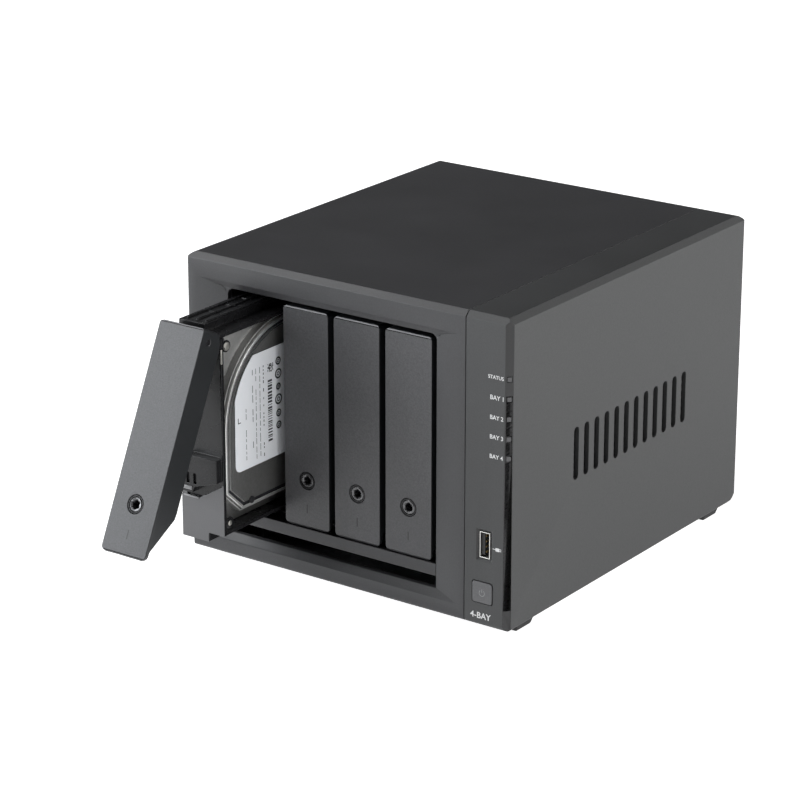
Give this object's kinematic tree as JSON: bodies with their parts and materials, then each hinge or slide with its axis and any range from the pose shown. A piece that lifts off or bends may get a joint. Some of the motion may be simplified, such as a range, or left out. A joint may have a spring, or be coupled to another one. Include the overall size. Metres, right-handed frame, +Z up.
{
  "type": "network attached storage",
  "caption": "Desktop network storage box: charcoal sleeve, upright drive trays with locking pull handles, a tray drawn out, control strip, rear fans.",
  "frame": {"origin": "centre of the floor area that the object covers with tray 1 drawn out, on the ground under its feet", "axes": "+Z up, front with the drive trays towards -Y, control strip towards +X"},
  "size_m": [0.199, 0.327, 0.166],
  "materials": {
    "black_abs": "fine spark-eroded grain, satin black",
    "side_abs": "fine grain, dark grey",
    "handle_abs": "fine grain, charcoal",
    "tray_abs": "semi-gloss black moulding",
    "inner_abs": "plain black moulding",
    "steel": "zinc-plated folded sheet",
    "dark_steel": "black powder coat",
    "drive_metal": "machined and cast aluminium",
    "lock_metal": "grey zinc die casting",
    "aluminium": "extruded, satin",
    "circuit_green": "green solder mask",
    "light_guide": "clear moulded acrylic",
    "rubber": "moulded rubber",
    "drive_label": "printed paper label, satin",
    "white_print": "pad-printed white ink",
    "contact_gold": "gold-plated contacts"
  },
  "bodies": {
    "enclosure": {"left_shell": "black_abs", "right_shell": "side_abs", "left_vent_louvre": "inner_abs", "right_vent_louvre": "inner_abs", "drive_cage": "steel", "guide_rack_bottom": "inner_abs", "guide_rack_top": "inner_abs", "base_pan": "dark_steel", "ssd_hatch_1": "inner_abs", "ssd_hatch_2": "inner_abs", "rear_panel": "dark_steel", "mainboard": "circuit_green", "processor_heatsink": "aluminium", "memory_socket": "inner_abs", "memory_module": "circuit_green", "backplane_board": "circuit_green", "light_pipe": "light_guide", "front_board": "circuit_green", "front_usb_shell": "steel", "front_usb_tongue": "inner_abs", "lan_port_1": "steel", "lan_port_2": "steel", "rear_usb_port": "steel", "esata_port": "steel", "power_inlet": "inner_abs", "network_slot_cover": "dark_steel", "fan_frame_left": "inner_abs", "fan_guard_left": "steel", "fan_frame_right": "inner_abs", "fan_guard_right": "steel", "foot_front_left": "rubber", "foot_front_right": "rubber", "foot_rear_left": "rubber", "foot_rear_right": "rubber", "sata_socket_1": "inner_abs", "sata_socket_2": "inner_abs", "sata_socket_3": "inner_abs", "sata_socket_4": "inner_abs"},
    "tray_1": {"tray_1": "tray_abs", "hard_drive_1": "drive_metal"},
    "handle_1": {"handle_1": "handle_abs"},
    "lock_1": {"lock_1": "lock_metal"},
    "tray_2": {"tray_2": "tray_abs", "hard_drive_2": "drive_metal"},
    "handle_2": {"handle_2": "handle_abs"},
    "lock_2": {"lock_2": "lock_metal"},
    "tray_3": {"tray_3": "tray_abs", "hard_drive_3": "drive_metal"},
    "handle_3": {"handle_3": "handle_abs"},
    "lock_3": {"lock_3": "lock_metal"},
    "tray_4": {"tray_4": "tray_abs", "hard_drive_4": "drive_metal"},
    "handle_4": {"handle_4": "handle_abs"},
    "lock_4": {"lock_4": "lock_metal"},
    "fan_left": {"fan_rotor_left": "inner_abs"},
    "fan_right": {"fan_rotor_right": "inner_abs"},
    "power_button": {"power_button": "side_abs"},
    "reset_button": {"reset_button": "inner_abs"}
  },
  "joints": [
    {"name": "tray_1_slide", "type": "slide", "parent": "enclosure", "child": "tray_1", "axis": [0, -1, 0], "range_m": [-0.0605, 0.0995]},
    {"name": "handle_1_swing", "type": "hinge", "parent": "tray_1", "child": "handle_1", "pos_m": [-0.0568, -0.1108, 0.1413], "axis": [-1, 0, 0], "range_deg": [-25.35, 19.65]},
    {"name": "lock_1_turn", "type": "hinge", "parent": "handle_1", "child": "lock_1", "pos_m": [-0.0568, -0.15266, 0.06696], "axis": [0, -0.9037, 0.4281], "range_deg": [0, 90]},
    {"name": "tray_2_slide", "type": "slide", "parent": "enclosure", "child": "tray_2", "axis": [0, -1, 0], "range_m": [0, 0.16]},
    {"name": "handle_2_swing", "type": "hinge", "parent": "tray_2", "child": "handle_2", "pos_m": [-0.0253, -0.0503, 0.1413], "axis": [-1, 0, 0], "range_deg": [0, 45]},
    {"name": "lock_2_turn", "type": "hinge", "parent": "handle_2", "child": "lock_2", "pos_m": [-0.0253, -0.0563, 0.0562], "axis": [0, -1, 0], "range_deg": [0, 90]},
    {"name": "tray_3_slide", "type": "slide", "parent": "enclosure", "child": "tray_3", "axis": [0, -1, 0], "range_m": [0, 0.16]},
    {"name": "handle_3_swing", "type": "hinge", "parent": "tray_3", "child": "handle_3", "pos_m": [0.0062, -0.0503, 0.1413], "axis": [-1, 0, 0], "range_deg": [0, 45]},
    {"name": "lock_3_turn", "type": "hinge", "parent": "handle_3", "child": "lock_3", "pos_m": [0.0062, -0.0563, 0.0562], "axis": [0, -1, 0], "range_deg": [0, 90]},
    {"name": "tray_4_slide", "type": "slide", "parent": "enclosure", "child": "tray_4", "axis": [0, -1, 0], "range_m": [0, 0.16]},
    {"name": "handle_4_swing", "type": "hinge", "parent": "tray_4", "child": "handle_4", "pos_m": [0.0377, -0.0503, 0.1413], "axis": [-1, 0, 0], "range_deg": [0, 45]},
    {"name": "lock_4_turn", "type": "hinge", "parent": "handle_4", "child": "lock_4", "pos_m": [0.0377, -0.0563, 0.0562], "axis": [0, -1, 0], "range_deg": [0, 90]},
    {"name": "fan_left_spin", "type": "hinge", "parent": "enclosure", "child": "fan_left", "pos_m": [-0.0475, 0.1442, 0.104], "axis": [0, 1, 0], "continuous": true},
    {"name": "fan_right_spin", "type": "hinge", "parent": "enclosure", "child": "fan_right", "pos_m": [0.0475, 0.1442, 0.104], "axis": [0, 1, 0], "continuous": true},
    {"name": "power_button_press", "type": "slide", "parent": "enclosure", "child": "power_button", "axis": [0, 1, 0], "range_m": [0, 0.001], "stiffness_N_per_m": 600, "springref_m": -0.0005},
    {"name": "reset_button_press", "type": "slide", "parent": "enclosure", "child": "reset_button", "axis": [0, -1, 0], "range_m": [0, 0.0008], "stiffness_N_per_m": 300, "springref_m": -0.0005}
  ]
}
